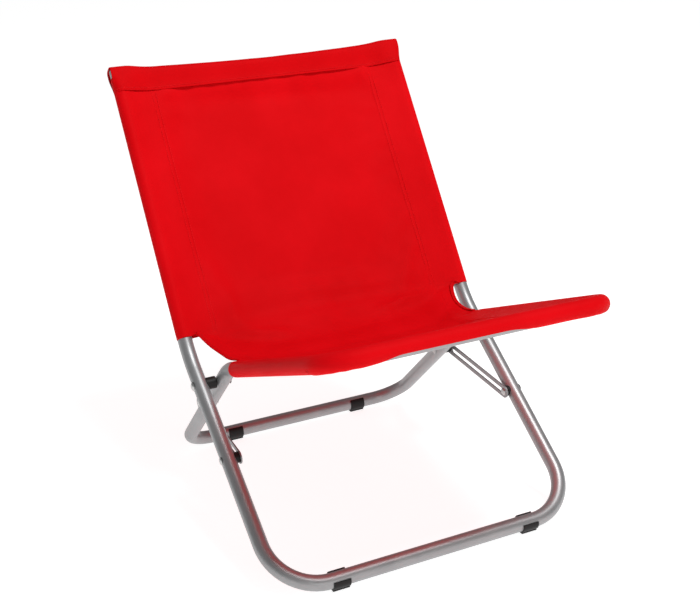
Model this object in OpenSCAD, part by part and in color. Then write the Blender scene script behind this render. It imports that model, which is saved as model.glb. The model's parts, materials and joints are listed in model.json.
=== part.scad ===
// Low folding camp chair. Two bent steel tube frames cross in an X and turn on a rivet on
// each side, two slotted stays set how far they open, and a fabric sling hangs between them.
// The front of the chair faces -Y, +X is to the right seen from the front, and +Z is up.
// The origin is on the floor, below the middle of the whole chair. Units are millimetres.

/* [Tubes] */
// Outer diameter of the two frame tubes
tube_d = 22; // [18:0.5:25]
// Wall thickness of the tubes
tube_wall = 1.2; // [0.8:0.1:2]
// Diameter of the bar inside the top hem
crossbar_d = 16; // [12:0.5:18]
// Distance from the top of the uprights down to the bar's axis
crossbar_drop = 11; // [10:0.5:25]

/* [Back frame] */
// Overall width over the back frame's tubes
frame_w = 494; // [420:1:600]
// Slope of the front legs above the floor, in degrees
leg_angle = 36.1; // [31:0.1:40]
// Length of the front legs, from the floor rail to the bend
leg_len = 389; // [380:1:470]
// Length of the uprights, from the bend to the top
upright_len = 459; // [380:1:600]
// Centreline radius of the front rail's corners
front_corner_r = 75; // [50:1:110]
// Centreline radius of the bend between leg and upright
back_bend_r = 150; // [100:1:220]

/* [Seat frame] */
// Gap on each side between the two frames' tubes
frame_gap = 12.5; // [10.4:0.1:20]
// Distance along the front leg from the floor rail to the pivot
pivot_dist = 336; // [300:1:345]
// Slope of the rear legs above the floor, in degrees
rear_leg_angle = 42; // [37:0.1:47]
// Distance along the rear leg from the pivot up to the seat bend
bend_past_pivot = 43; // [38:1:60]
// Length of the seat rails, from the bend to the front bar
seat_len = 377; // [300:1:460]
// Centreline radius of the rear floor rail's corners
rear_corner_r = 52; // [35:1:80]
// Centreline radius of the seat's front corners
seat_corner_r = 45; // [35:1:70]
// Centreline radius of the bend between rear leg and seat rail
seat_bend_r = 100; // [80:1:110]
// Length of the sleeve inside each seat rail joint
insert_len = 80; // [50:1:100]

/* [Pivots and stays] */
// Diameter of the two main pivot rivets
pivot_d = 8; // [6:0.5:10]
// Diameter of the main pivot's plastic spacers
pivot_spacer_d = 18; // [14:0.5:20]
// Distance along the front leg from the floor rail to the slot pin
slot_pin_dist = 210; // [190:1:230]
// Distance along the rear leg from the floor rail to the stay's pivot
stay_pivot_dist = 208; // [190:1:220]
// Width of the flat stays
stay_w = 19; // [16:0.5:24]
// Thickness of the flat stays
stay_t = 2; // [1.5:0.1:2.4]
// Width of the slot in the stays
slot_w = 7; // [6:0.5:8]
// Diameter of the slot pins
slot_pin_d = 5; // [4:0.5:5.5]
// Diameter of the stays' own pivot rivets
stay_rivet_d = 6; // [5:0.5:7]
// Gap from the seat frame's tube to the stay
stay_gap = 6; // [5:0.5:7]
// Diameter of the stays' plastic spacers
stay_spacer_d = 16; // [12:0.5:18]

/* [Foot clips] */
// Length of a foot clip along its rail
clip_len = 25; // [15:1:40]
// Wall of a foot clip, which is also its sole under the rail
clip_wall = 2; // [1.5:0.1:3.5]
// Distance of the front clips from the middle
front_clip_x = 150; // [100:1:155]
// Distance of the rear clips from the middle
rear_clip_x = 115; // [80:1:130]

/* [Sling] */
// Thickness of the sling's sleeves and panels
cloth_t = 1.2; // [0.8:0.1:2]
// Distance from the upright's bend to the lower end of its sleeve
back_sleeve_start = 26; // [20:1:60]
// Distance from the seat bend to the rear end of the seat sleeve
seat_sleeve_start = 25; // [20:1:50]
// Half width of the sling at the crease between seat and back
crease_half_w = 162; // [120:1:165]
// Radius of the armhole's edge in the back panel
back_notch_r = 52; // [40:1:60]
// Radius of the armhole's edge in the seat panel
seat_notch_r = 80; // [60:1:90]

/* [Hidden] */
$fn = 64;

// Running clearance round a pin, and the clearance of a piece that is pushed into another
running = 0.05;
snug = 0.02;
// Free play on each side of a stay
play = 0.25;
// Clearance between a sleeve and its tube
sleeve_gap = 0.3;
// How far a saddle reaches round the tube that it sits on
saddle = 3;
past = 1;
// Both frames are bent on one former, which turns the tube by 44 in 117
bend_angle = atan(44 / 117);
back_angle = leg_angle + bend_angle;
seat_angle = rear_leg_angle - bend_angle;

tube_r = tube_d / 2;
tube_in_r = tube_r - tube_wall;
crossbar_r = crossbar_d / 2;
sleeve_in_r = tube_r + sleeve_gap;
sleeve_r = sleeve_in_r + cloth_t;
back_half = (frame_w - tube_d) / 2;
seat_half = back_half - tube_d - frame_gap;
seat_outer_x = seat_half + tube_r;
seat_inner_x = seat_half - tube_r;
back_inner_x = back_half - tube_r;
back_outer_x = back_half + tube_r;
stay_in_x = seat_outer_x + stay_gap;
stay_out_x = stay_in_x + stay_t;
rail_z = clip_wall + tube_r;

// Side view points are [y, z], with y = 0 at the front floor rail
function dir(a) = [cos(a), sin(a)];
function cross2(u, v) = u[0] * v[1] - u[1] * v[0];
function meet(p, u, q, v) = p + u * cross2(q - p, v) / cross2(u, v);
function at_x(x, p) = [x, p[0], p[1]];

leg_dir = dir(leg_angle);
back_dir = dir(back_angle);
rear_dir = dir(-rear_leg_angle);
seat_dir = dir(180 - seat_angle);
front_rail = [0, rail_z];
back_bend = front_rail + leg_len * leg_dir;
back_top = back_bend + upright_len * back_dir;
pivot = front_rail + pivot_dist * leg_dir;
rear_leg_below = (pivot[1] - rail_z) / sin(rear_leg_angle);
rear_rail = pivot + rear_leg_below * rear_dir;
seat_bend = pivot - bend_past_pivot * rear_dir;
seat_front = seat_bend + seat_len * seat_dir;
slot_pin = front_rail + slot_pin_dist * leg_dir;
stay_pivot = rear_rail - stay_pivot_dist * rear_dir;

// The chair's foremost and rearmost points put the origin under its middle
y_low = seat_front[0] - sleeve_r;
y_high = back_top[0] + sleeve_r * sin(back_angle);
y_mid = (y_low + y_high) / 2;

// The stays run from their pivot to the slot pin
stay_reach = norm(stay_pivot - slot_pin);
stay_run = (stay_pivot - slot_pin) / stay_reach;
stay_angle = atan2(stay_run[1], stay_run[0]);
bush_r = slot_w / 2 - 2 * running;
slot_start = stay_w / 2 + 2;
slot_end = stay_reach + slot_w / 2;

// Rivet heads
pivot_head_d = 14;
pivot_head_h = 3;
pin_head_d = 12;
pin_head_h = 2.2;
stay_head_d = 11;
stay_head_h = 1.6;
joint_rivet_d = 4;

// The seat rails' joint lies under the sleeves
joint_at = seat_sleeve_start + insert_len / 2 + 15;

// The panels lie in the planes of the tubes' centrelines and meet at the crease
panel_t = cloth_t + 0.3;
crease = meet(back_bend, back_dir, seat_bend, seat_dir);
crease_trim = 3;
back_crease = (crease - back_bend) * back_dir;
seat_crease = (crease - seat_bend) * seat_dir;
back_normal = dir(back_angle - 90);
crossbar_back = 3;
pocket_r = crossbar_r + sleeve_gap + cloth_t;

steel = [0.62, 0.63, 0.65];
bright = [0.78, 0.78, 0.80];
black = [0.06, 0.06, 0.07];
red = [0.84, 0.05, 0.09];

// ---- Placing ----------------------------------------------------------------------------

module chair() {
    translate([0, -y_mid, 0])
    children();
}

// Side 1 is the right, side -1 mirrors it to the left
module on_side(side) {
    mirror([side < 0 ? 1 : 0, 0, 0])
    children();
}

// Local Y runs along the given slope from a side view point
module sloped(p, angle) {
    translate([0, p[0], p[1]])
    rotate([angle, 0, 0])
    children();
}

module x_rod(p, r, x0, x1) {
    translate([x0, p[0], p[1]])
    rotate([0, 90, 0])
    cylinder(r = r, h = x1 - x0);
}

// ---- Bent tubes -------------------------------------------------------------------------

function unit(v) = v / norm(v);

// A straight rod between two points
module straight(a, b, r) {
    z = unit(b - a);
    side = abs(z[0]) > 0.9 ? [0, 1, 0] : [1, 0, 0];
    x = unit(cross(side, z));
    y = cross(z, x);
    multmatrix([
        [x[0], y[0], z[0], a[0]],
        [x[1], y[1], z[1], a[1]],
        [x[2], y[2], z[2], a[2]]
    ])
    cylinder(r = r, h = norm(b - a));
}

// A U of solid rod. Its rail lies along X through the origin, its legs run along +Y, and
// each leg may bend once towards +Z. leg and tail are measured to the bend's corner point.
// Each bend is made too long and cut off square, so that it ends on the tail's own face.
module u_rod(half, corner_r, leg, r, bend_r = 0, tail = 0) {
    run = bend_r * tan(bend_angle / 2);
    translate([corner_r - half, 0, 0])
    rotate([0, 90, 0])
    cylinder(r = r, h = 2 * (half - corner_r));
    for (side = [-1, 1])
        on_side(side) {
            translate([half - corner_r, corner_r, 0])
            rotate([0, 0, -90])
            rotate_extrude(angle = 90)
            translate([corner_r, 0])
            circle(r = r);
            translate([half, corner_r, 0])
            rotate([-90, 0, 0])
            cylinder(r = r, h = leg - run - corner_r);
            if (tail > 0)
                translate([half, leg - run, bend_r]) {
                    difference() {
                        rotate([0, 90, 0])
                        rotate_extrude(angle = bend_angle + 2)
                        translate([bend_r, 0])
                        circle(r = r);
                        rotate([bend_angle, 0, 0])
                        translate([-2 * r, 0, -bend_r - 2 * r])
                        cube(4 * r);
                    }
                    rotate([bend_angle, 0, 0])
                    translate([0, 0, -bend_r])
                    rotate([-90, 0, 0])
                    cylinder(r = r, h = tail - run);
                }
        }
}

module back_rod(r, extra = 0) {
    sloped(front_rail, leg_angle)
    u_rod(
        back_half, front_corner_r, leg_len, r,
        back_bend_r, upright_len + extra
    );
}

// Each seat frame rod stops at a distance from the seat bend, measured along the seat rail
module seat_rod(r, stop) {
    sloped(seat_front, -seat_angle)
    u_rod(seat_half, seat_corner_r, seat_len - stop, r);
}

module rear_rod(r, stop) {
    sloped(rear_rail, 180 - rear_leg_angle)
    u_rod(
        seat_half, rear_corner_r, rear_leg_below + bend_past_pivot, r,
        seat_bend_r, stop
    );
}

// ---- Back frame -------------------------------------------------------------------------

module back_frame_tube() {
    color(steel)
    chair()
    difference() {
        back_rod(tube_r);
        back_rod(tube_in_r, past);
        for (side = [-1, 1])
            on_side(side) {
                x_rod(pivot, pivot_d / 2 + running, back_inner_x - past, back_outer_x + past);
                x_rod(slot_pin, slot_pin_d / 2 + running, back_inner_x - past, back_outer_x + past);
            }
    }
}

crossbar_axis = back_top - crossbar_drop * back_dir + crossbar_back * back_normal;

module top_crossbar() {
    color(steel)
    chair()
    difference() {
        x_rod(crossbar_axis, crossbar_r, -back_half, back_half);
        x_rod(crossbar_axis, crossbar_r - tube_wall, -back_half - past, back_half + past);
        for (side = [-1, 1])
            straight(
                at_x(side * back_half, back_bend), at_x(side * back_half, back_top + past * back_dir),
                tube_r + snug
            );
    }
}

module top_plug(side) {
    stem = 14;
    cap = 2;
    color(black)
    chair()
    on_side(side)
    translate([back_half, back_top[0], back_top[1]])
    rotate([back_angle - 90, 0, 0])
    difference() {
        union() {
            cylinder(r = tube_r, h = cap);
            translate([0, 0, -stem])
            cylinder(r = tube_in_r - snug, h = stem + cap / 2);
        }
        translate([0, 0, -stem - past])
        cylinder(r = tube_in_r - 2, h = stem);
    }
}

// ---- Foot clips -------------------------------------------------------------------------

// Cross section of a clip, its tall lip on the +x side
module clip_outline() {
    low_lip = 15;
    tall_lip = 50;
    reach = 3 * tube_r;
    outer_r = tube_r + clip_wall;
    sole_w = tube_r * 1.3;
    difference() {
        union() {
            circle(r = outer_r);
            translate([-sole_w / 2, -outer_r])
            square([sole_w, outer_r / 2]);
        }
        circle(r = tube_r + snug);
        polygon([
            [0, 0], reach * dir(tall_lip), reach * dir(90), reach * dir(180 - low_lip)
        ]);
        translate([-outer_r, -2 * outer_r])
        square([2 * outer_r, outer_r]);
    }
}

module foot_clip(p, x, tall_side) {
    color(black)
    chair()
    translate([x - clip_len / 2, p[0], p[1]])
    mirror([0, tall_side < 0 ? 1 : 0, 0])
    rotate([90, 0, 90])
    linear_extrude(height = clip_len)
    clip_outline();
}

// ---- Rivets and spacers -----------------------------------------------------------------

// A domed head that stands along +X or -X from the plane x
module dome_head(p, x, towards, d, h) {
    ball_r = (d * d / 4 + h * h) / (2 * h);
    translate([x, p[0], p[1]])
    rotate([0, towards * 90, 0])
    intersection() {
        translate([0, 0, h - ball_r])
        sphere(r = ball_r);
        cylinder(r = d, h = h);
    }
}

module pivot_rivet(side) {
    color(bright)
    chair()
    on_side(side) {
        x_rod(pivot, pivot_d / 2, seat_inner_x, back_outer_x);
        dome_head(pivot, back_outer_x, 1, pivot_head_d, pivot_head_h);
        dome_head(pivot, seat_inner_x, -1, pivot_head_d, pivot_head_h);
    }
}

// A round spacer along X, from the plane x_flat to a saddle on the tube with the given slope
module spacer(p, angle, tube_x, x_flat, d, bore_r) {
    x_tube = x_flat < tube_x ? tube_x - tube_r + saddle : tube_x + tube_r - saddle;
    difference() {
        x_rod(p, d / 2, min(x_flat, x_tube), max(x_flat, x_tube));
        x_rod(p, bore_r, min(x_flat, x_tube) - past, max(x_flat, x_tube) + past);
        straight(
            at_x(tube_x, p - tube_d * dir(angle)), at_x(tube_x, p + tube_d * dir(angle)),
            tube_r + snug
        );
    }
}

module pivot_spacer(side) {
    color(black)
    chair()
    on_side(side)
    spacer(
        pivot, leg_angle, back_half, seat_outer_x + play,
        pivot_spacer_d, pivot_d / 2 + running
    );
}

module slot_pin(side) {
    color(bright)
    chair()
    on_side(side) {
        x_rod(slot_pin, slot_pin_d / 2, stay_in_x - play, back_outer_x);
        dome_head(slot_pin, back_outer_x, 1, pin_head_d, pin_head_h);
        dome_head(slot_pin, stay_in_x - play, -1, pin_head_d, pin_head_h);
    }
}

module slot_spacer(side) {
    color(black)
    chair()
    on_side(side)
    spacer(
        slot_pin, leg_angle, back_half, stay_out_x + play,
        stay_spacer_d, slot_pin_d / 2 + running
    );
}

module slot_bush(side) {
    color(black)
    chair()
    on_side(side)
    difference() {
        x_rod(slot_pin, bush_r, stay_in_x - play + running, stay_out_x + play - running);
        x_rod(slot_pin, slot_pin_d / 2 + running, stay_in_x - past, stay_out_x + past);
    }
}

// The stud that ends at the stay's face, with its head inside the seat frame
module stay_stub(side) {
    color(bright)
    chair()
    on_side(side) {
        x_rod(stay_pivot, stay_rivet_d / 2, seat_inner_x, stay_in_x - play);
        dome_head(stay_pivot, seat_inner_x, -1, stay_head_d, stay_head_h);
    }
}

module stay_spacer(side) {
    color(black)
    chair()
    on_side(side)
    spacer(
        stay_pivot, -rear_leg_angle, seat_half, stay_in_x - play,
        stay_spacer_d, stay_rivet_d / 2 + running
    );
}

// ---- Stays ------------------------------------------------------------------------------

// A flat bar with round ends between two points of its own line, drawn as an outline
module bar_outline(from, to, w) {
    translate([from, -w / 2])
    square([to - from, w]);
    for (x = [from, to])
        translate([x, 0])
        circle(r = w / 2);
}

module stay(side) {
    color(steel)
    chair()
    on_side(side)
    translate([stay_in_x, stay_pivot[0], stay_pivot[1]])
    rotate([stay_angle + 180, 0, 0])
    rotate([90, 0, 90])
    linear_extrude(height = stay_t)
    difference() {
        bar_outline(0, stay_reach + 1, stay_w);
        bar_outline(slot_start + slot_w / 2, stay_reach, slot_w);
        circle(r = stay_rivet_d / 2 + running);
    }
}

module stay_rivet(side) {
    color(bright)
    chair()
    on_side(side) {
        x_rod(stay_pivot, stay_rivet_d / 2, stay_in_x, stay_out_x);
        dome_head(stay_pivot, stay_out_x, 1, stay_head_d, stay_head_h);
    }
}

// ---- Seat frame -------------------------------------------------------------------------

module joint_rivet_holes(r) {
    for (side = [-1, 1], along = [-1, 1])
        on_side(side)
        x_rod(
            seat_bend + (joint_at + along * insert_len / 4) * seat_dir, r,
            seat_inner_x - past, seat_outer_x + past
        );
}

module seat_rail_tube() {
    color(steel)
    chair()
    difference() {
        seat_rod(tube_r, joint_at + snug);
        seat_rod(tube_in_r, joint_at - past);
        joint_rivet_holes(joint_rivet_d / 2 + running);
    }
}

module rear_leg_tube() {
    color(steel)
    chair()
    difference() {
        rear_rod(tube_r, joint_at);
        rear_rod(tube_in_r, joint_at + past);
        joint_rivet_holes(joint_rivet_d / 2 + running);
        for (side = [-1, 1])
            on_side(side) {
                x_rod(pivot, pivot_d / 2 + running, seat_inner_x - past, seat_outer_x + past);
                x_rod(stay_pivot, stay_rivet_d / 2 + running, seat_inner_x - past, seat_outer_x + past);
            }
    }
}

module joint_insert(side) {
    from = seat_bend + (joint_at - insert_len / 2) * seat_dir;
    to = seat_bend + (joint_at + insert_len / 2) * seat_dir;
    color(steel)
    chair()
    difference() {
        straight(at_x(side * seat_half, from), at_x(side * seat_half, to), tube_in_r - running);
        straight(
            at_x(side * seat_half, from - past * seat_dir),
            at_x(side * seat_half, to + past * seat_dir),
            tube_in_r - running - tube_wall
        );
        joint_rivet_holes(joint_rivet_d / 2 + running);
    }
}

// Two flush rivets across each joint
module joint_rivet(side) {
    flush = tube_r - sleeve_gap;
    color(bright)
    chair()
    on_side(side)
    for (along = [-1, 1])
        x_rod(
            seat_bend + (joint_at + along * insert_len / 4) * seat_dir, joint_rivet_d / 2,
            seat_half - flush, seat_half + flush
        );
}

// ---- Sling ------------------------------------------------------------------------------

module back_panel_outline() {
    lower = back_crease + crease_trim;
    notch_x = crease_half_w + back_notch_r;
    difference() {
        translate([-back_half, lower])
        square([2 * back_half, upright_len - crossbar_drop - lower]);
        for (side = [-1, 1]) {
            translate([side * notch_x, lower])
            circle(r = back_notch_r);
            translate([side > 0 ? notch_x : -notch_x - frame_w, back_crease])
            square([frame_w, back_sleeve_start - back_crease]);
        }
    }
}

// Rods along the uprights, in the backrest's own plane
module upright_rods(r, from, to) {
    for (side = [-1, 1])
        translate([side * back_half, from, 0])
        rotate([-90, 0, 0])
        cylinder(r = r, h = to - from);
}

module hem_rod(r) {
    translate([-back_half, upright_len - crossbar_drop, -crossbar_back])
    rotate([0, 90, 0])
    cylinder(r = r, h = 2 * back_half);
}

module back_sling() {
    color(red)
    chair()
    sloped(back_bend, back_angle)
    difference() {
        union() {
            upright_rods(sleeve_r, back_sleeve_start, upright_len);
            hem_rod(pocket_r);
            translate([0, 0, -panel_t / 2])
            linear_extrude(height = panel_t)
            back_panel_outline();
        }
        upright_rods(sleeve_in_r, back_sleeve_start - past, upright_len + past);
        hem_rod(crossbar_r + sleeve_gap);
    }
}

module seat_panel_outline() {
    inner_w = 2 * (seat_half - seat_corner_r);
    bare_half = seat_inner_x - 3;
    rear = seat_crease + crease_trim;
    difference() {
        union() {
            translate([-inner_w / 2, rear])
            square([inner_w, seat_len - rear]);
            translate([-seat_half, seat_sleeve_start])
            square([2 * seat_half, seat_len - seat_corner_r - seat_sleeve_start]);
            translate([-bare_half, rear])
            square([2 * bare_half, seat_len / 2]);
            for (side = [-1, 1])
                translate([side * inner_w / 2, seat_len - seat_corner_r])
                circle(r = seat_corner_r);
        }
        for (side = [-1, 1])
            translate([side * (crease_half_w + seat_notch_r), rear])
            circle(r = seat_notch_r);
    }
}

module seat_sling() {
    color(red)
    chair()
    difference() {
        union() {
            seat_rod(sleeve_r, seat_sleeve_start);
            sloped(seat_front, -seat_angle)
            translate([0, seat_len, -panel_t / 2])
            mirror([0, 1, 0])
            linear_extrude(height = panel_t)
            seat_panel_outline();
        }
        seat_rod(sleeve_in_r, seat_sleeve_start - past);
    }
}

// ---- Nodes ------------------------------------------------------------------------------

back_frame_tube();
top_crossbar();
top_plug(-1);  // top_plug_left
top_plug(1);  // top_plug_right
foot_clip(front_rail, -front_clip_x, 1);  // front_foot_clip_left
foot_clip(front_rail, front_clip_x, 1);  // front_foot_clip_right
pivot_rivet(-1);  // pivot_rivet_left
pivot_rivet(1);  // pivot_rivet_right
pivot_spacer(-1);  // pivot_spacer_left
pivot_spacer(1);  // pivot_spacer_right
slot_pin(-1);  // slot_pin_left
slot_pin(1);  // slot_pin_right
slot_spacer(-1);  // slot_spacer_left
slot_spacer(1);  // slot_spacer_right
back_sling();
slot_bush(-1);  // slot_bush_left
slot_bush(1);  // slot_bush_right
stay(-1);  // stay_left
stay(1);  // stay_right
stay_rivet(-1);  // stay_rivet_left
stay_rivet(1);  // stay_rivet_right
seat_rail_tube();
rear_leg_tube();
joint_insert(-1);  // joint_insert_left
joint_insert(1);  // joint_insert_right
joint_rivet(-1);  // joint_rivet_left
joint_rivet(1);  // joint_rivet_right
foot_clip(rear_rail, -rear_clip_x, -1);  // rear_foot_clip_left
foot_clip(rear_rail, rear_clip_x, -1);  // rear_foot_clip_right
stay_stub(-1);  // stay_stub_left
stay_stub(1);  // stay_stub_right
stay_spacer(-1);  // stay_spacer_left
stay_spacer(1);  // stay_spacer_right
seat_sling();
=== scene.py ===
import json
import math

import bmesh
import bpy
import numpy as np
from mathutils import Matrix, Vector, noise


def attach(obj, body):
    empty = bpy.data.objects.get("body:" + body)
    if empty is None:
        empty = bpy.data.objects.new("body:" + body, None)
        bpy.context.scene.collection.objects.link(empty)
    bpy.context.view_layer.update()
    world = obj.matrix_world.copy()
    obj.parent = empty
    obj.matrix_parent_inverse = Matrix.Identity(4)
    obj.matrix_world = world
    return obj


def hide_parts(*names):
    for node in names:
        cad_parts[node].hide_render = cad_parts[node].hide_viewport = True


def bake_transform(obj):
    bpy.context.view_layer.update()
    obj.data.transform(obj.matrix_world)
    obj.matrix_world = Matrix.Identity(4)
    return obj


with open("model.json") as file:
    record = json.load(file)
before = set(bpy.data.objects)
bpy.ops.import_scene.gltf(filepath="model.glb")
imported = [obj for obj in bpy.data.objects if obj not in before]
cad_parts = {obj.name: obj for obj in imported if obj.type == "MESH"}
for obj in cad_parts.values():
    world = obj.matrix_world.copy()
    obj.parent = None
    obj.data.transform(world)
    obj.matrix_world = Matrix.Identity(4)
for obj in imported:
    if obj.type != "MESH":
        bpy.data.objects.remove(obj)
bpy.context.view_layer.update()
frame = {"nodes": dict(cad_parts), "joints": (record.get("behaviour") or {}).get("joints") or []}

# ---------------------------------------------------------------- camera
EYE = Vector((-0.69843, -1.45708, 0.89713))
AIM = Vector((0.00016, 0.02725, 0.2921))
ROLL = math.radians(-2.09)

cam_data = bpy.data.cameras.new("camera")
cam = bpy.data.objects.new("camera", cam_data)
bpy.context.scene.collection.objects.link(cam)
bpy.context.scene.camera = cam
cam_data.sensor_width = 36.0
cam_data.lens = 60.2
ahead = (AIM - EYE).normalized()
right = ahead.cross(Vector((0, 0, 1))).normalized()
above = right.cross(ahead)
right_rolled = math.cos(ROLL) * right + math.sin(ROLL) * above
above_rolled = -math.sin(ROLL) * right + math.cos(ROLL) * above
cam.matrix_world = Matrix(
    (
        (right_rolled.x, above_rolled.x, -ahead.x, EYE.x),
        (right_rolled.y, above_rolled.y, -ahead.y, EYE.y),
        (right_rolled.z, above_rolled.z, -ahead.z, EYE.z),
        (0, 0, 0, 1),
    )
)

# ---------------------------------------------------------------- the frame's side view
# (y, z) points and directions, from the fold joint outwards, in metres
fold = next(j for j in frame["joints"] if j["name"] == "fold")
BEND = math.atan(44 / 117)  # how far each side tube bends
LEG_SLOPE = math.radians(36.1)  # the front legs, from the floor
REAR_SLOPE = math.radians(42)  # the rear legs, from the floor
BACK_SLOPE = LEG_SLOPE + BEND
SEAT_SLOPE = REAR_SLOPE - BEND
BACK_BEND_AT = 0.053  # from the fold joint up the back frame to its bend
SEAT_BEND_AT = 0.043  # from the fold joint along the seat frame to its bend


def direction(angle):
    return np.array((math.cos(angle), math.sin(angle)))


pivot = np.array(fold["pos_m"][1:])
back_bend = pivot + BACK_BEND_AT * direction(LEG_SLOPE)
seat_bend = pivot - SEAT_BEND_AT * direction(-REAR_SLOPE)
back_up = direction(BACK_SLOPE)
seat_out = direction(math.pi - SEAT_SLOPE)
back_front = np.array((-back_up[1], back_up[0]))
seat_top = np.array((seat_out[1], -seat_out[0]))

BACK_X = 0.236  # the back tubes' centres
SEAT_X = 0.2015  # the seat rails' centres
SEAM_IN = 0.045  # from a tube's centre to the sleeve's seam
CLOTH_R = 0.0119  # the sleeve's outer radius on a tube
TOP_S = 0.447  # the sling's top, from the back's bend
SLEEVE_S = 0.025  # where the sleeves end, along each frame from its bend
FRONT_U = 0.332  # where the front corners of the seat frame start
RAIL_S = 0.033  # where the cloth's sleeve starts on the seat rail
LAND_U = 0.085  # where the bridging cloth meets the seat's plane
back_foot = back_bend + SLEEVE_S * back_up
seat_land = seat_bend + LAND_U * seat_out
BRIDGE = (back_foot, back_foot - 0.013 * back_up, seat_land - 0.052 * seat_out, seat_land)


def bridge(t):
    """The cloth between back and seat in side view: point and upper normal."""
    a, b, c, d = BRIDGE
    p = (1 - t) ** 3 * a + 3 * (1 - t) ** 2 * t * b + 3 * (1 - t) * t * t * c + t**3 * d
    g = 3 * (1 - t) ** 2 * (b - a) + 6 * (1 - t) * t * (c - b) + 3 * t * t * (d - c)
    g /= np.linalg.norm(g)
    return p, np.array((g[1], -g[0]))


def bridge_t(y):
    """Where on the bridge the cloth is at y."""
    lo_t, hi_t = 0.0, 1.0
    for _ in range(40):
        mid = (lo_t + hi_t) / 2
        lo_t, hi_t = (mid, hi_t) if bridge(mid)[0][0] > y else (lo_t, mid)
    return lo_t


rail_start = seat_bend + RAIL_S * seat_out
T_RAIL = bridge_t(rail_start[0])
T_STEPS = 400
bridge_steps = [np.linalg.norm(bridge((i + 1) / T_STEPS)[0] - bridge(i / T_STEPS)[0]) for i in range(T_STEPS)]
BRIDGE_RUN = np.concatenate(([0], np.cumsum(bridge_steps)))  # the length run along the bridge
V_BACK = TOP_S - SLEEVE_S
V_SEAT = V_BACK + float(np.interp(T_RAIL, np.linspace(0, 1, T_STEPS + 1), BRIDGE_RUN))
V_FRONT = V_SEAT + FRONT_U - RAIL_S


def path(v):
    """The cloth's middle line in side view at v from the top: point and front normal, each (y, z)."""
    if v <= V_BACK:
        return back_bend + (TOP_S - v) * back_up, back_front
    if v < V_SEAT:
        return bridge(float(np.interp(v - V_BACK, BRIDGE_RUN, np.linspace(0, 1, T_STEPS + 1))))
    flat_at = seat_bend + (RAIL_S + v - V_SEAT) * seat_out
    if RAIL_S + v - V_SEAT < LAND_U:
        return bridge(bridge_t(flat_at[0]))
    return flat_at, seat_top


def rail(v):
    """The seat rail's own line and normal at v."""
    return seat_bend + (RAIL_S + v - V_SEAT) * seat_out, seat_top


def smooth(a, b, x):
    t = min(1.0, max(0.0, (x - a) / (b - a)))
    return t * t * (3 - 2 * t)


def mix(a, b, t):
    return a + (b - a) * t


# the armhole's edge and the line that carries the seam on across it, as (share of the way, half-width)
EDGE_T = [0, 0.10, 0.22, 0.36, 0.50, 0.66, 0.82, 1.0]
EDGE_X = [0.2190, 0.2150, 0.2090, 0.2030, 0.1993, 0.1980, 0.1975, 0.1960]
ARM_RISE = 0.007  # how far the armhole's edge stands up in its middle


def seam_x(v):
    if v <= V_BACK:
        return BACK_X - SEAM_IN
    if v >= V_SEAT:
        return SEAT_X - SEAM_IN
    return mix(BACK_X - SEAM_IN, SEAT_X - SEAM_IN, smooth(V_BACK - 0.01, V_SEAT + 0.01, v))


def across(v):
    return (v - V_BACK) / (V_SEAT - V_BACK)


LEAN = math.asin(CLOTH_R / SEAM_IN)
TANGENT = math.sqrt(SEAM_IN**2 - CLOTH_R**2)
FLAT_N, ROUND_N, UNDER_N = 5, 14, 4
WRAP = []  # (out from the seam, up from the plane, length of cloth from the seam)
for i in range(FLAT_N + 1):
    t = TANGENT * i / FLAT_N
    sag = -0.0012 * math.sin(math.pi * i / FLAT_N)
    WRAP.append((t * math.cos(LEAN), t * math.sin(LEAN) + sag, t))
for i in range(1, ROUND_N + 1):
    a = mix(math.pi / 2 + LEAN, -math.pi / 2 - LEAN, i / ROUND_N)
    WRAP.append((SEAM_IN + CLOTH_R * math.cos(a), CLOTH_R * math.sin(a),
                 TANGENT + CLOTH_R * (math.pi + 2 * LEAN) * i / ROUND_N))
for i in range(1, UNDER_N + 1):
    t = TANGENT * (1 - i / UNDER_N)
    WRAP.append((t * math.cos(LEAN), -t * math.sin(LEAN) - 0.0012 * i / UNDER_N,
                 WRAP[FLAT_N + ROUND_N][2] + TANGENT - t))
FULL = len(WRAP) - 1


def rows(a, b, step):
    return list(np.linspace(a, b, max(2, round((b - a) / step) + 1)))


V_ROWS = rows(0, V_BACK, 0.011) + rows(V_BACK, V_SEAT, 0.0045)[1:] + rows(V_SEAT, V_FRONT, 0.011)[1:]
HALF_N = 15


def ripple(x, v):
    """Small loose waves in the cloth, in metres."""
    broad = 0.0009 * noise.noise(Vector((x * 14, v * 22, 1.7)))
    fine = 0.0005 * noise.noise(Vector((x * 45, v * 45, 4.2)))
    return broad + fine


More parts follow.
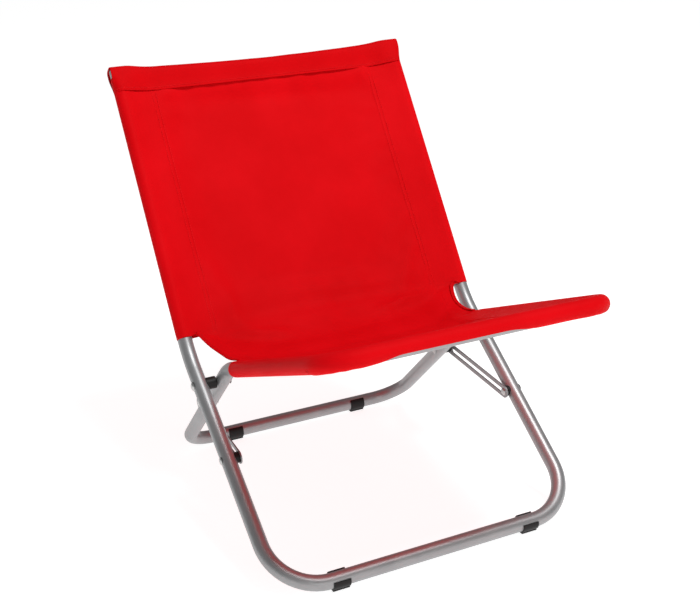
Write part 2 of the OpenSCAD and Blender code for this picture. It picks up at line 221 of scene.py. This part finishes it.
class Cloth:
    """Quads of cloth with the flat pattern's coordinates on them."""

    def __init__(self, name):
        self.name, self.bm = name, bmesh.new()
        self.uv = self.bm.loops.layers.uv.new("flat")
        self.free = self.bm.verts.layers.float.new("free")
        self.edge = self.bm.verts.layers.float.new("edge")
        self.along = self.bm.verts.layers.float.new("along")

    def grid(self, points, flat, free, edge=None, along=None, keep=None):
        vs = []
        for i, line in enumerate(points):
            row = []
            for j, p in enumerate(line):
                w = self.bm.verts.new(p)
                w[self.free] = free[i][j]
                w[self.edge] = edge[i][j] if edge else 0
                w[self.along] = along[i] if along else 0
                row.append(w)
            vs.append(row)
        for i in range(len(points) - 1):
            for j in range(len(points[0]) - 1):
                if keep and not keep(i, j):
                    continue
                ids = ((i, j), (i, j + 1), (i + 1, j + 1), (i + 1, j))
                places = [vs[a][b] for a, b in ids]
                if len({tuple(round(c, 6) for c in w.co) for w in places}) < 3:
                    continue
                f = self.bm.faces.new(places)
                f.smooth = True
                for loop, (a, b) in zip(f.loops, ids):
                    loop[self.uv].uv = flat[a][b]

    def build(self):
        bmesh.ops.delete(self.bm, geom=[w for w in self.bm.verts if not w.link_faces], context="VERTS")
        bmesh.ops.remove_doubles(self.bm, verts=self.bm.verts, dist=2e-5)
        bmesh.ops.dissolve_degenerate(self.bm, dist=1e-6, edges=self.bm.edges)
        bmesh.ops.recalc_face_normals(self.bm, faces=self.bm.faces)
        mesh = bpy.data.meshes.new(self.name)
        self.bm.to_mesh(mesh)
        self.bm.free()
        obj = bpy.data.objects.new(self.name, mesh)
        bpy.context.scene.collection.objects.link(obj)
        return obj


def place(x, yz, n, up):
    q = yz + up * n
    return (x, float(q[0]), float(q[1]))


# ---------------------------------------------------------------- sling: panel and side sleeves
sling_cloth = Cloth("sling")
points, flat, free, along = [], [], [], []
for v in V_ROWS:
    yz, n = path(v)
    a = seam_x(v)
    line, uv, fr = [], [], []
    for j in range(-HALF_N, HALF_N + 1):
        x = a * j / HALF_N
        ends = min(1.0, (HALF_N - abs(j)) / 2) * min(1.0, v / 0.03) * min(1.0, (V_FRONT - v) / 0.03)
        line.append(place(x, yz, n, ripple(x, v) * ends))
        uv.append((x, v))
        inside = abs(j) < HALF_N and 0.02 < v < V_FRONT - 0.001
        fr.append(1.0 if inside or V_BACK + 0.006 < v < V_SEAT - 0.006 else 0.0)
    points.append(line)
    flat.append(uv)
    free.append(fr)
    along.append(v)
sling_cloth.grid(points, flat, free, None, along)

for side in (-1, 1):
    points, flat, free, edge = [], [], [], []
    for v in V_ROWS:
        yz, n = path(v)
        a = seam_x(v)
        line, uv, fr, ed = [], [], [], []
        arm = V_BACK < v < V_SEAT
        for m, (out, up, cloth) in enumerate(WRAP):
            if arm:
                w = float(np.interp(across(v), EDGE_T, EDGE_X))
                k = min(m, FLAT_N) / FLAT_N
                off = 1 - smooth(V_BACK, V_BACK + 0.020, v)
                on = smooth(V_SEAT - 0.024, V_SEAT, v)
                rise = (1 - off) * (1 - on) * ARM_RISE * k**1.5 * math.sin(math.pi * across(v))
                x, h = a + (w - a) * k, off * up + rise
                p = np.array(place(side * x, yz, n, h))
                if on > 0:
                    tube_yz, tube_n = rail(V_SEAT)
                    top = np.array(place(side * (a + out), tube_yz, tube_n, up))
                    here = path(V_SEAT)[0]
                    lift = top[1:] - here
                    p = p + on * k * np.array((0, lift[0], lift[1]))
                line.append(tuple(p))
                uv.append((side * x, v))
                fr.append(1.0 if V_BACK + 0.006 < v < V_SEAT - 0.006 else 0.0)
                ed.append(float(side) if m == FLAT_N else 0.0)
            else:
                rip = 0.0004 * noise.noise(Vector((v * 60, cloth * 60, side * 3.0))) if 0 < m < FULL else 0
                x, h = a + out, up + (rip if out < SEAM_IN - 0.004 else 0)
                p = np.array(place(side * x, yz, n, h))
                if v >= V_SEAT:
                    tube_yz, tube_n = rail(v)
                    p = np.array(place(side * x, tube_yz, tube_n, h))
                    raised = np.array((0, *(yz - tube_yz)))
                    if m < FLAT_N:
                        p = p + raised * (1 - m / FLAT_N)
                    elif m > FLAT_N + ROUND_N:
                        p = p + raised * ((m - FLAT_N - ROUND_N) / UNDER_N)
                line.append(tuple(p))
                uv.append((side * (a + cloth), v))
                fr.append(0.0)
                ed.append(float(side) if m == FLAT_N and v in (V_BACK, V_SEAT) else 0.0)
        points.append(line)
        flat.append(uv)
        free.append(fr)
        edge.append(ed)

    def kept(i, j, side=side):
        mid = (V_ROWS[i] + V_ROWS[i + 1]) / 2
        return j < FLAT_N or not V_BACK < mid < V_SEAT

    sling_cloth.grid(points, flat, free, edge, along, kept)


# ---------------------------------------------------------------- sling: front edge over the seat's front bar
def droop_at(x, open_mid):
    """How far the wrap hangs off the bar beside its open middle."""
    return 0.0008 * (1 - open_mid) * math.exp(-(((abs(x) - 0.158) / 0.016) ** 2))


def front_wrap(m, x, corner):
    """Out, up and cloth at place m of the wrap, where the front edge is partly open under the bar."""
    open_mid = smooth(-0.150, -0.115, x) * (1 - smooth(0.035, 0.105, x)) * (1 - corner)
    if m <= FLAT_N:
        return WRAP[m]
    last = mix(-math.pi / 2 - LEAN, math.radians(-38), open_mid)
    if m <= FLAT_N + ROUND_N:
        a = mix(math.pi / 2 + LEAN, last, (m - FLAT_N) / ROUND_N)
        droop = droop_at(x, open_mid) * smooth(0.2, 1.4, -a)
        return (SEAM_IN + CLOTH_R * math.cos(a), CLOTH_R * math.sin(a) - droop,
                TANGENT + CLOTH_R * (math.pi / 2 + LEAN - a))
    full = WRAP[m]
    k = (m - FLAT_N - ROUND_N) / UNDER_N
    droop = droop_at(x, open_mid) * (1 - k)
    tucked = CLOTH_R - 0.0009
    turned = (SEAM_IN + tucked * math.cos(last + 0.5 * k), tucked * math.sin(last + 0.5 * k))
    return (mix(full[0], turned[0], open_mid), mix(full[1] - droop, turned[1], open_mid), full[2])


seat_a = SEAT_X - SEAM_IN
yz_front, n_front = path(V_FRONT)
stations = []  # (x of the seam, angle from sideways)
ARC = 9
for i in range(ARC + 1):
    stations.append((-seat_a, math.pi - math.pi / 2 * i / ARC))
for x in rows(-seat_a, seat_a, 0.010)[1:-1]:
    stations.append((float(x), math.pi / 2))
for i in range(ARC + 1):
    stations.append((seat_a, math.pi / 2 - math.pi / 2 * i / ARC))
points, flat, free = [], [], []
for k, (x, a) in enumerate(stations):
    line, uv = [], []
    corner = abs(math.cos(a))
    for m in range(FULL + 1):
        out, up, cloth = front_wrap(m, x, min(1.0, corner * 3))
        if 0 < corner < 1 and 0 < m < FULL:
            up += 0.0007 * math.sin(k * 2.9) * (1 if m > 2 else 0.4) * math.sin(math.pi * corner)
        px = x + out * math.cos(a)
        pu = out * math.sin(a)
        q = yz_front + seat_out * pu + n_front * up
        line.append((px, float(q[0]), float(q[1])))
        uv.append((x + cloth * math.cos(a), V_FRONT + cloth * math.sin(a)))
    points.append(line)
    flat.append(uv)
    free.append([0.0] * (FULL + 1))
sling_cloth.grid(points, flat, free)
sling = sling_cloth.build()


# ---------------------------------------------------------------- cloth simulation of the panels
def attribute(obj, name):
    out = np.zeros(len(obj.data.vertices), np.float32)
    obj.data.attributes[name].data.foreach_get("value", out)
    return out


def coords(obj):
    out = np.zeros(len(obj.data.vertices) * 3, np.float32)
    obj.data.vertices.foreach_get("co", out)
    return out.reshape(-1, 3).astype(float)


def settle(obj, frames, cap):
    """Lets the free cloth hang between its seams, then keeps the result, at most cap metres away."""
    before = coords(obj)
    held = obj.vertex_groups.new(name="held")
    for i, f in enumerate(attribute(obj, "free")):
        held.add([i], 1.0 - float(f), "REPLACE")
    mod = obj.modifiers.new("cloth", "CLOTH")
    s = mod.settings
    s.vertex_group_mass = "held"
    s.quality = 8
    s.mass = 0.15
    s.tension_stiffness = s.compression_stiffness = 25
    s.shear_stiffness = 15
    s.bending_stiffness = 0.6
    s.shrink_min = -0.010
    s.pin_stiffness = 1.0
    mod.collision_settings.use_collision = False
    mod.point_cache.frame_start, mod.point_cache.frame_end = 1, frames
    scene = bpy.context.scene
    for f in range(1, frames + 1):
        scene.frame_set(f)
    dg = bpy.context.evaluated_depsgraph_get()
    e = obj.evaluated_get(dg)
    moved = e.to_mesh()
    after = np.zeros(len(moved.vertices) * 3, np.float32)
    moved.vertices.foreach_get("co", after)
    e.to_mesh_clear()
    obj.modifiers.remove(mod)
    scene.frame_set(1)
    step = after.reshape(-1, 3).astype(float) - before
    length = np.linalg.norm(step, axis=1, keepdims=True)
    step *= np.minimum(1.0, cap / np.maximum(length, 1e-9))
    free_part = attribute(obj, "free")[:, None]
    obj.data.vertices.foreach_set("co", (before + step * free_part).astype(np.float32).ravel())
    obj.data.update()
    obj.vertex_groups.clear()


SIM_FRAMES = 24
SIM_CAP = 0.010  # the furthest the simulation may move the cloth, in metres
settle(sling, SIM_FRAMES, SIM_CAP)

# long soft folds: start and end as (x, v from the top), half-width and height
FOLDS = (
    ((-0.188, 0.024), (-0.130, 0.047), 0.006, 0.00408),
    ((-0.150, 0.044), (0.180, 0.060), 0.011, -0.00442),
    ((-0.190, 0.052), (-0.120, 0.078), 0.008, 0.00272),
    ((0.188, 0.026), (0.110, 0.046), 0.008, 0.0034),
    ((-0.120, 0.034), (0.120, 0.038), 0.009, 0.00238),
    ((-0.178, V_BACK - 0.060), (0.185, V_BACK - 0.024), 0.010, 0.00306),
    ((-0.188, V_BACK - 0.018), (0.188, V_BACK - 0.012), 0.010, -0.00408),
    ((-0.190, V_BACK + 0.004), (-0.070, V_BACK + 0.030), 0.009, 0.0051),
    ((0.190, V_BACK + 0.002), (0.060, V_BACK + 0.022), 0.009, 0.0051),
    ((-0.160, V_SEAT - 0.030), (0.150, V_SEAT - 0.022), 0.016, -0.00374),
    ((-0.150, V_SEAT + 0.020), (-0.020, V_SEAT + 0.048), 0.011, 0.0034),
    ((0.150, V_SEAT + 0.016), (0.010, V_SEAT + 0.070), 0.011, 0.0034),
    ((-0.150, V_FRONT - 0.012), (-0.080, V_FRONT - 0.060), 0.009, 0.00374),
    ((0.150, V_FRONT - 0.010), (0.070, V_FRONT - 0.052), 0.009, 0.00374),
)


def folds(x, v):
    """Height of the soft folds at (x, v)."""
    total = 0.0
    for (x0, v0), (x1, v1), wide, high in FOLDS:
        dx, dv = x1 - x0, v1 - v0
        t = ((x - x0) * dx + (v - v0) * dv) / (dx * dx + dv * dv)
        if 0 < t < 1:
            off = math.hypot(x - x0 - t * dx, v - v0 - t * dv)
            total += high * math.exp(-((off / wide) ** 2)) * math.sin(math.pi * t) ** 0.6
    return total


co, run = coords(sling), attribute(sling, "along")
for i, v in enumerate(run):
    if v > 0.001:
        x, seam = co[i][0], seam_x(float(v))
        fade = 1 - smooth(seam - 0.012, seam + 0.004, abs(x))
        if fade > 0:
            n = path(float(v))[1]
            h = folds(x, float(v)) * fade
            co[i][1] += n[0] * h
            co[i][2] += n[1] * h
sling.data.vertices.foreach_set("co", co.astype(np.float32).ravel())
sling.data.update()

# ---------------------------------------------------------------- armhole hems
rest = coords(sling)
edge_at, along_at = attribute(sling, "edge"), attribute(sling, "along")


def hem_points(side):
    ids = [i for i in np.where(np.abs(edge_at - side) < 0.01)[0]]
    ids.sort(key=lambda i: along_at[i])
    return np.array([rest[i] for i in ids])


def unit(a):
    return a / np.maximum(np.linalg.norm(a, axis=-1, keepdims=True), 1e-9)


def resample(line, step):
    d = np.concatenate(([0], np.cumsum(np.linalg.norm(np.diff(line, axis=0), axis=1))))
    t = np.linspace(0, d[-1], max(3, round(d[-1] / step) + 1))
    return np.stack([np.interp(t, d, line[:, c]) for c in range(3)], axis=1)


def mesh_object(name, verts, faces, uvs=None):
    mesh = bpy.data.meshes.new(name)
    mesh.from_pydata([tuple(map(float, p)) for p in verts], [], faces)
    if uvs is not None:
        layer = mesh.uv_layers.new(name="flat")
        for poly in mesh.polygons:
            for li in poly.loop_indices:
                layer.data[li].uv = uvs[mesh.loops[li].vertex_index]
    for poly in mesh.polygons:
        poly.use_smooth = True
    obj = bpy.data.objects.new(name, mesh)
    bpy.context.scene.collection.objects.link(obj)
    return obj


def band(name, line, normals, inward, width, thick):
    """A folded hem: a flat closed loop of cloth carried along a line."""
    upper = [(-0.0004, thick * 0.8), (0.0012, thick), (width - 0.001, thick * 0.9)]
    shape = [(-0.0009, 0.0), *upper, (width, 0.0), *((w, -h) for w, h in reversed(upper))]
    verts, uvs, faces = [], [], []
    for i, p in enumerate(line):
        for k, (w, h) in enumerate(shape):
            verts.append(p + inward[i] * w + normals[i] * h)
            uvs.append((k * 0.002, i * 0.004))
    c = len(shape)
    for i in range(len(line) - 1):
        for k in range(c):
            a, b = i * c + k, i * c + (k + 1) % c
            faces.append((a, b, b + c, a + c))
    faces.append(tuple(range(c - 1, -1, -1)))
    faces.append(tuple((len(line) - 1) * c + k for k in range(c)))
    return mesh_object(name, verts, faces, uvs)


HEM_WIDE, HEM_THICK = 0.0058, 0.0011
hems = []
hem_lines = []
for side, word in ((-1, "left"), (1, "right")):
    raw = resample(hem_points(side), 0.0035)[2:-2]
    for _ in range(3):
        raw[1:-1] = (raw[:-2] + 2 * raw[1:-1] + raw[2:]) / 4
    tangent = unit(np.gradient(raw, axis=0))
    inner = np.array([[-side, 0, 0]] * len(raw), float)
    side_n = unit(np.cross(tangent, inner)) * side
    side_n *= np.sign(side_n @ np.array((0, -0.5, 1.0)))[:, None]
    inward = unit(np.cross(side_n, tangent))
    inward *= np.sign(np.sum(inward * inner, axis=1))[:, None]
    hems.append(band("armhole_hem_" + word, raw, side_n, inward, HEM_WIDE, HEM_THICK))
    hem_lines.append((raw + inward * 0.0042, side_n, HEM_THICK))


# ---------------------------------------------------------------- top hem over the crossbar
def front_face(x):
    """How far the sling's front stands off the back's plane at x."""
    a = BACK_X - SEAM_IN
    x = abs(x)
    if x <= a:
        return 0.0
    if x <= a + TANGENT * math.cos(LEAN):
        return (x - a) * math.tan(LEAN)
    return math.sqrt(max(CLOTH_R**2 - (x - BACK_X) ** 2, 0))


HEM_X = 0.2483  # half the top hem's width
HEM_LOW = 0.4205  # its lower edge, from the back's bend
hem = Cloth("top_hem")
hem_end = np.linspace(0.205, HEM_X, 12)
xs = [float(x) for x in np.concatenate((-hem_end[::-1], np.linspace(-0.195, 0.195, 31), hem_end))]
points, flat, free = [], [], []
for x in xs:
    end = smooth(0.180, 0.226, abs(x))
    r = mix(0.0094, 0.0128, end)
    cn = mix(-0.003, 0.0, end)
    top_s = mix(0.4578, 0.4636, min(1.0, abs(x) / 0.222) ** 1.6)
    cs = top_s - r + 0.0004 * noise.noise(Vector((x * 30, 0, 9.1)))
    power = mix(1.0, 0.42, end)
    wave = 0.0006 * noise.noise(Vector((x * 40, 3.3, 0)))
    line, cloth = [], []
    low = front_face(x)
    for i in range(7):  # up the front
        t = i / 6
        s = mix(HEM_LOW, cs, t)
        h = mix(low + 0.0013, cn + r, smooth(0, 1, t)) - 0.0008 * math.sin(math.pi * t) * (1 - end) + wave * t
        line.append((s, h))
    for i in range(1, 13):  # over the bar
        a = math.pi * i / 12
        c = math.cos(a)
        square = math.copysign(abs(c) ** mix(1.0, 0.6, end), c)
        line.append((cs + r * math.sin(a) ** power, cn + square * (r + wave)))
    for i in range(1, 6):  # down the back
        t = i / 5
        line.append((mix(cs, HEM_LOW, t), mix(cn - r, -low - 0.0016, smooth(0, 1, t))))
    row, uv, run = [], [], 0.0
    for i, (s, h) in enumerate(line):
        if i:
            run += math.dist(line[i - 1], line[i])
        q = back_bend + back_up * s + back_front * h
        row.append((x, float(q[0]), float(q[1])))
        uv.append((x, run))
    points.append(row)
    flat.append(uv)
    free.append([0.0] * len(row))
hem.grid(points, flat, free)
top_hem = hem.build()


# ---------------------------------------------------------------- stitches
def stitches(name, lines, pitch=0.0042, length=0.0030, r=0.00034):
    """Short thread dashes along lines: each line is (points, normals, lift)."""
    verts, faces = [], []
    for line, normals, lift in lines:
        d = np.concatenate(([0], np.cumsum(np.linalg.norm(np.diff(line, axis=0), axis=1))))
        count = int(d[-1] / pitch)
        for k in range(count):
            t0 = (k + 0.15) * pitch

            def at(t):
                p = np.array([np.interp(t, d, line[:, c]) for c in range(3)])
                n = unit(np.array([np.interp(t, d, normals[:, c]) for c in range(3)]))
                return p, n

            ring = []
            for f, rise, wide in ((0.0, -0.2, 0.45), (0.25, 0.6, 1.0), (0.75, 0.6, 1.0), (1.0, -0.2, 0.45)):
                p, n = at(t0 + length * f)
                q, _ = at(t0 + length * f + 0.0005)
                side_v = unit(np.cross(n, q - p))
                base = p + n * (lift + rise * r)
                ring.append([base + (side_v * math.cos(a) + n * math.sin(a)) * r * wide
                             for a in [math.pi * 2 * c / 6 for c in range(6)]])
            s = len(verts)
            for rg in ring:
                verts.extend(rg)
            for i in range(3):
                for c in range(6):
                    a, b = s + i * 6 + c, s + i * 6 + (c + 1) % 6
                    faces.append((a, b, b + 6, a + 6))
            faces.append(tuple(s + c for c in range(5, -1, -1)))
            faces.append(tuple(s + 18 + c for c in range(6)))
    return mesh_object(name, verts, faces)


def plane_line(vs, x):
    pts, ns = [], []
    for v in vs:
        yz, n = path(v)
        pts.append(place(x, yz, n, 0))
        ns.append((0, float(n[0]), float(n[1])))
    return np.array(pts), np.array(ns)


def back_seams(x, offset):
    p, n = plane_line(rows(0.03, V_BACK, 0.02), x)
    return p + np.array((offset, 0, 0)), n, STITCH_LIFT


SEAM_INSETS = (0.0012, 0.0072)  # the two rows of stitches beside each seam
STITCH_LIFT = 0.0007
seam_b, seam_s = BACK_X - SEAM_IN, SEAT_X - SEAM_IN
back_lines, seat_lines = [], []
for k in (-1, 1):
    for inset in SEAM_INSETS:
        back_lines.append(back_seams(k * seam_b, -k * inset))
        p, n = plane_line(rows(V_SEAT, V_FRONT, 0.012), k * seam_s)
        seat_lines.append((p + np.array((-k * inset, 0, 0)), n, STITCH_LIFT))
for inset in SEAM_INSETS:
    q = yz_front - seat_out * inset
    front_xs = rows(-seam_s, seam_s, 0.02)
    front_at = np.array([(x, float(q[0]), float(q[1])) for x in front_xs])
    front_ns = np.array([(0, float(n_front[0]), float(n_front[1]))] * len(front_xs))
    seat_lines.append((front_at, front_ns, STITCH_LIFT))
hem_xs = rows(-HEM_X + 0.002, HEM_X - 0.002, 0.006)
hem_at = []
for x in hem_xs:
    q = back_bend + back_up * (HEM_LOW + 0.0045) + back_front * (front_face(x) + 0.0016)
    hem_at.append((x, float(q[0]), float(q[1])))
hem_ns = np.array([(0, float(back_front[0]), float(back_front[1]))] * len(hem_xs))
back_lines.append((np.array(hem_at), hem_ns, 0.0004))
back_stitches = stitches("back_stitches", back_lines)
seat_stitches = stitches("seat_stitches", seat_lines)
arm_stitches = stitches("armhole_stitches", hem_lines, r=0.0003)


# ---------------------------------------------------------------- materials
def material(name):
    m = bpy.data.materials.new(name)
    m.use_nodes = True
    nodes, links = m.node_tree.nodes, m.node_tree.links
    return m, nodes, links, nodes["Principled BSDF"]


def node(nodes, kind, **values):
    n = nodes.new(kind)
    for key, value in values.items():
        if key in n.inputs:
            n.inputs[key].default_value = value
        else:
            setattr(n, key, value)
    return n


def two_tone(nodes, low, high, start=0.0, end=1.0):
    """A colour ramp from low to high, between start and end."""
    ramp = node(nodes, "ShaderNodeValToRGB")
    first, last = ramp.color_ramp.elements
    first.position, last.position = start, end
    first.color, last.color = (*low, 1), (*high, 1)
    return ramp


def vary_roughness(nodes, links, bsdf, source, low, high):
    """Roughness from low to high, as source runs from 0 to 1."""
    rough = node(nodes, "ShaderNodeMapRange")
    rough.inputs["To Min"].default_value, rough.inputs["To Max"].default_value = low, high
    links.new(source, rough.inputs["Value"])
    links.new(rough.outputs["Result"], bsdf.inputs["Roughness"])


def fabric_material(name, red, dark, bright):
    m, nodes, links, bsdf = material(name)
    uv = node(nodes, "ShaderNodeUVMap", uv_map="flat")
    warp = node(nodes, "ShaderNodeTexWave", wave_type="BANDS", bands_direction="X", wave_profile="SIN")
    weft = node(nodes, "ShaderNodeTexWave", wave_type="BANDS", bands_direction="Y", wave_profile="SIN")
    for w in (warp, weft):
        w.inputs["Scale"].default_value = 260.0
        w.inputs["Distortion"].default_value = 0.6
        w.inputs["Detail"].default_value = 1.0
        w.inputs["Detail Scale"].default_value = 2.0
        links.new(uv.outputs["UV"], w.inputs["Vector"])
    cross = node(nodes, "ShaderNodeMath", operation="MULTIPLY")
    links.new(warp.outputs["Fac"], cross.inputs[0])
    links.new(weft.outputs["Fac"], cross.inputs[1])
    coord = node(nodes, "ShaderNodeTexCoord")
    cloudy = node(nodes, "ShaderNodeTexNoise", Scale=9.0, Detail=5.0, Roughness=0.55)
    links.new(coord.outputs["Object"], cloudy.inputs["Vector"])
    slub = node(nodes, "ShaderNodeTexNoise", Scale=420.0, Detail=2.0, Roughness=0.6)
    links.new(uv.outputs["UV"], slub.inputs["Vector"])
    ramp = two_tone(nodes, red, bright, 0.3, 0.72)
    links.new(cloudy.outputs["Fac"], ramp.inputs["Fac"])
    shade = node(nodes, "ShaderNodeMix", data_type="RGBA", blend_type="MIX")
    strength = node(nodes, "ShaderNodeMath", operation="MULTIPLY")
    strength.inputs[1].default_value = 0.30
    links.new(cross.outputs[0], strength.inputs[0])
    links.new(strength.outputs[0], shade.inputs[0])
    links.new(ramp.outputs["Color"], shade.inputs[6])
    shade.inputs[7].default_value = (*dark, 1)
    links.new(shade.outputs[2], bsdf.inputs["Base Color"])
    vary_roughness(nodes, links, bsdf, slub.outputs["Fac"], 0.50, 0.66)
    bump = node(nodes, "ShaderNodeBump", Strength=0.35, Distance=0.0003)
    links.new(cross.outputs[0], bump.inputs["Height"])
    bump2 = node(nodes, "ShaderNodeBump", Strength=0.25, Distance=0.0012)
    pucker = node(nodes, "ShaderNodeTexNoise", Scale=55.0, Detail=3.0, Roughness=0.5)
    links.new(coord.outputs["Object"], pucker.inputs["Vector"])
    links.new(pucker.outputs["Fac"], bump2.inputs["Height"])
    links.new(bump2.outputs["Normal"], bump.inputs["Normal"])
    links.new(bump.outputs["Normal"], bsdf.inputs["Normal"])
    bsdf.inputs["Specular IOR Level"].default_value = 0.03
    bsdf.inputs["Sheen Weight"].default_value = 0.01
    bsdf.inputs["Sheen Roughness"].default_value = 0.4
    bsdf.inputs["Sheen Tint"].default_value = (1.0, 0.35, 0.35, 1)
    return m


def painted_metal(name, low, high, metallic, rough_lo, rough_hi, bump_mm):
    m, nodes, links, bsdf = material(name)
    coord = node(nodes, "ShaderNodeTexCoord")
    cloud = node(nodes, "ShaderNodeTexNoise", Scale=22.0, Detail=6.0, Roughness=0.6)
    fine = node(nodes, "ShaderNodeTexNoise", Scale=900.0, Detail=2.0, Roughness=0.5)
    speck = node(nodes, "ShaderNodeTexVoronoi", Scale=240.0)
    for t in (cloud, fine, speck):
        links.new(coord.outputs["Object"], t.inputs["Vector"])
    ramp = two_tone(nodes, low, high, 0.25, 0.75)
    links.new(cloud.outputs["Fac"], ramp.inputs["Fac"])
    spots = node(nodes, "ShaderNodeMapRange")
    spots.inputs["From Min"].default_value, spots.inputs["From Max"].default_value = 0.02, 0.10
    spots.inputs["To Min"].default_value, spots.inputs["To Max"].default_value = 0.80, 1.0
    links.new(speck.outputs["Distance"], spots.inputs["Value"])
    tone = node(nodes, "ShaderNodeMix", data_type="RGBA", blend_type="MULTIPLY")
    tone.inputs[0].default_value = 1.0
    links.new(ramp.outputs["Color"], tone.inputs[6])
    grey = node(nodes, "ShaderNodeCombineColor")
    for c in ("Red", "Green", "Blue"):
        links.new(spots.outputs["Result"], grey.inputs[c])
    links.new(grey.outputs["Color"], tone.inputs[7])
    links.new(tone.outputs[2], bsdf.inputs["Base Color"])
    vary_roughness(nodes, links, bsdf, cloud.outputs["Fac"], rough_lo, rough_hi)
    bump = node(nodes, "ShaderNodeBump", Strength=0.3, Distance=bump_mm / 1000)
    links.new(fine.outputs["Fac"], bump.inputs["Height"])
    links.new(bump.outputs["Normal"], bsdf.inputs["Normal"])
    bsdf.inputs["Metallic"].default_value = metallic
    return m


def moulded_plastic(name, low, high):
    m, nodes, links, bsdf = material(name)
    coord = node(nodes, "ShaderNodeTexCoord")
    grain = node(nodes, "ShaderNodeTexVoronoi", Scale=1100.0)
    worn = node(nodes, "ShaderNodeTexNoise", Scale=60.0, Detail=5.0)
    for t in (grain, worn):
        links.new(coord.outputs["Object"], t.inputs["Vector"])
    ramp = two_tone(nodes, low, high, 0.35, 0.8)
    links.new(worn.outputs["Fac"], ramp.inputs["Fac"])
    links.new(ramp.outputs["Color"], bsdf.inputs["Base Color"])
    vary_roughness(nodes, links, bsdf, worn.outputs["Fac"], 0.42, 0.62)
    bsdf.inputs["Specular IOR Level"].default_value = 0.28
    bump = node(nodes, "ShaderNodeBump", Strength=0.4, Distance=0.0002)
    links.new(grain.outputs["Distance"], bump.inputs["Height"])
    links.new(bump.outputs["Normal"], bsdf.inputs["Normal"])
    return m


fabric = fabric_material("sling_cloth", (0.70, 0.0015, 0.004), (0.36, 0.0005, 0.001), (0.80, 0.003, 0.007))
# painted shade: the hems' cloth is the sling's own red made darker, standing in for the shade that falls on
# the hems
shaded_hem_fabric = fabric_material("hem_cloth_painted_shade", (0.64, 0.0010, 0.003), (0.30, 0.0004, 0.001), (0.74, 0.002, 0.005))
thread = fabric_material("thread", (0.82, 0.010, 0.014), (0.5, 0.004, 0.006), (0.88, 0.02, 0.026))
tube_paint = painted_metal("tube_paint", (0.31, 0.315, 0.32), (0.38, 0.385, 0.39), 0.65, 0.38, 0.48, 0.05)
stay_paint = painted_metal("stay_paint", (0.26, 0.265, 0.27), (0.33, 0.335, 0.34), 0.65, 0.40, 0.50, 0.05)
rivet_steel = painted_metal("rivet_steel", (0.42, 0.42, 0.42), (0.55, 0.55, 0.54), 1.0, 0.24, 0.36, 0.03)
plastic = moulded_plastic("black_plastic", (0.004, 0.004, 0.004), (0.010, 0.009, 0.009))



def finish_of(name):
    """The material of a CAD node, by the words in its name."""
    if any(word in name for word in ("clip", "plug", "spacer")):
        return plastic
    if any(word in name for word in ("rivet", "pin", "insert", "bush", "stub")):
        return rivet_steel
    if "stay" in name:
        return stay_paint
    return tube_paint


for name, obj in frame["nodes"].items():
    obj.data.materials.clear()
    obj.data.materials.append(finish_of(name))
    for poly in obj.data.polygons:
        poly.material_index = 0

CLOTH_THICK = 0.0007
for obj, mat in ((sling, fabric), (top_hem, shaded_hem_fabric)):
    obj.data.materials.append(mat)
    solid = obj.modifiers.new("thickness", "SOLIDIFY")
    solid.thickness, solid.offset = CLOTH_THICK, -1.0
    sub = obj.modifiers.new("smooth", "SUBSURF")
    sub.levels = sub.render_levels = 1
# the armhole hems take the same darker hem cloth, with its painted shade
for obj in hems:
    obj.data.materials.append(shaded_hem_fabric)
for obj in (back_stitches, seat_stitches, arm_stitches):
    obj.data.materials.append(thread)

# ---------------------------------------------------------------- riding, and the sling's cloth area
for obj in [sling, arm_stitches, *hems]:
    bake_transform(obj)
for obj in (top_hem, back_stitches):
    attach(obj, "back_frame")
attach(seat_stitches, "seat_frame")
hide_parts("back_sling", "seat_sling")

strip = WRAP[-1][2]
ARM_WIDTH = 0.36  # the panel's mean width between the armholes
FRONT_SHARE = 0.85  # how much of the front wrap isn't open under the bar
wide, long = 2 * (seam_b + strip), V_FRONT + strip
area = V_BACK * wide + (V_SEAT - V_BACK) * ARM_WIDTH + (V_FRONT - V_SEAT) * 2 * (seam_s + strip)
area += strip * 2 * seam_s * FRONT_SHARE + strip * strip

# ---------------------------------------------------------------- floor and light
bpy.ops.mesh.primitive_grid_add(x_subdivisions=2, y_subdivisions=2, size=60, location=(0, 0, -0.0004))
floor = bpy.context.object
floor.name = "floor"
floor_mat, nodes, links, bsdf = material("floor")
tint = node(nodes, "ShaderNodeTexNoise", Scale=2.0, Detail=2.0)
ramp = two_tone(nodes, (0.50, 0.50, 0.50), (0.52, 0.52, 0.52))
links.new(tint.outputs["Fac"], ramp.inputs["Fac"])
links.new(ramp.outputs["Color"], bsdf.inputs["Base Color"])
bsdf.inputs["Roughness"].default_value = 0.9
bsdf.inputs["Specular IOR Level"].default_value = 0.0
bsdf.inputs["Emission Color"].default_value = (1, 1, 1, 1)
bsdf.inputs["Emission Strength"].default_value = 0.86
floor.data.materials.append(floor_mat)

world = bpy.data.worlds.new("studio")
bpy.context.scene.world = world
world.use_nodes = True
world.node_tree.nodes["Background"].inputs["Color"].default_value = (1, 1, 1, 1)
world.node_tree.nodes["Background"].inputs["Strength"].default_value = 0.25


def softbox(name, at, aim, size, power):
    data = bpy.data.lights.new(name, "AREA")
    data.shape, data.size, data.energy = "SQUARE", size, power
    obj = bpy.data.objects.new(name, data)
    bpy.context.scene.collection.objects.link(obj)
    obj.location = at
    obj.rotation_mode = "QUATERNION"
    obj.rotation_quaternion = (Vector(aim) - Vector(at)).to_track_quat("-Z", "Y")


softbox("key", (0.7, -1.3, 3.7), (0, 0, 0.3), 1.1, 92)
softbox("front", (0.4, -3.8, 1.0), (0, 0, 0.3), 1.2, 16)

scene = bpy.context.scene
scene.view_settings.view_transform = "Standard"
scene.view_settings.look = "None"
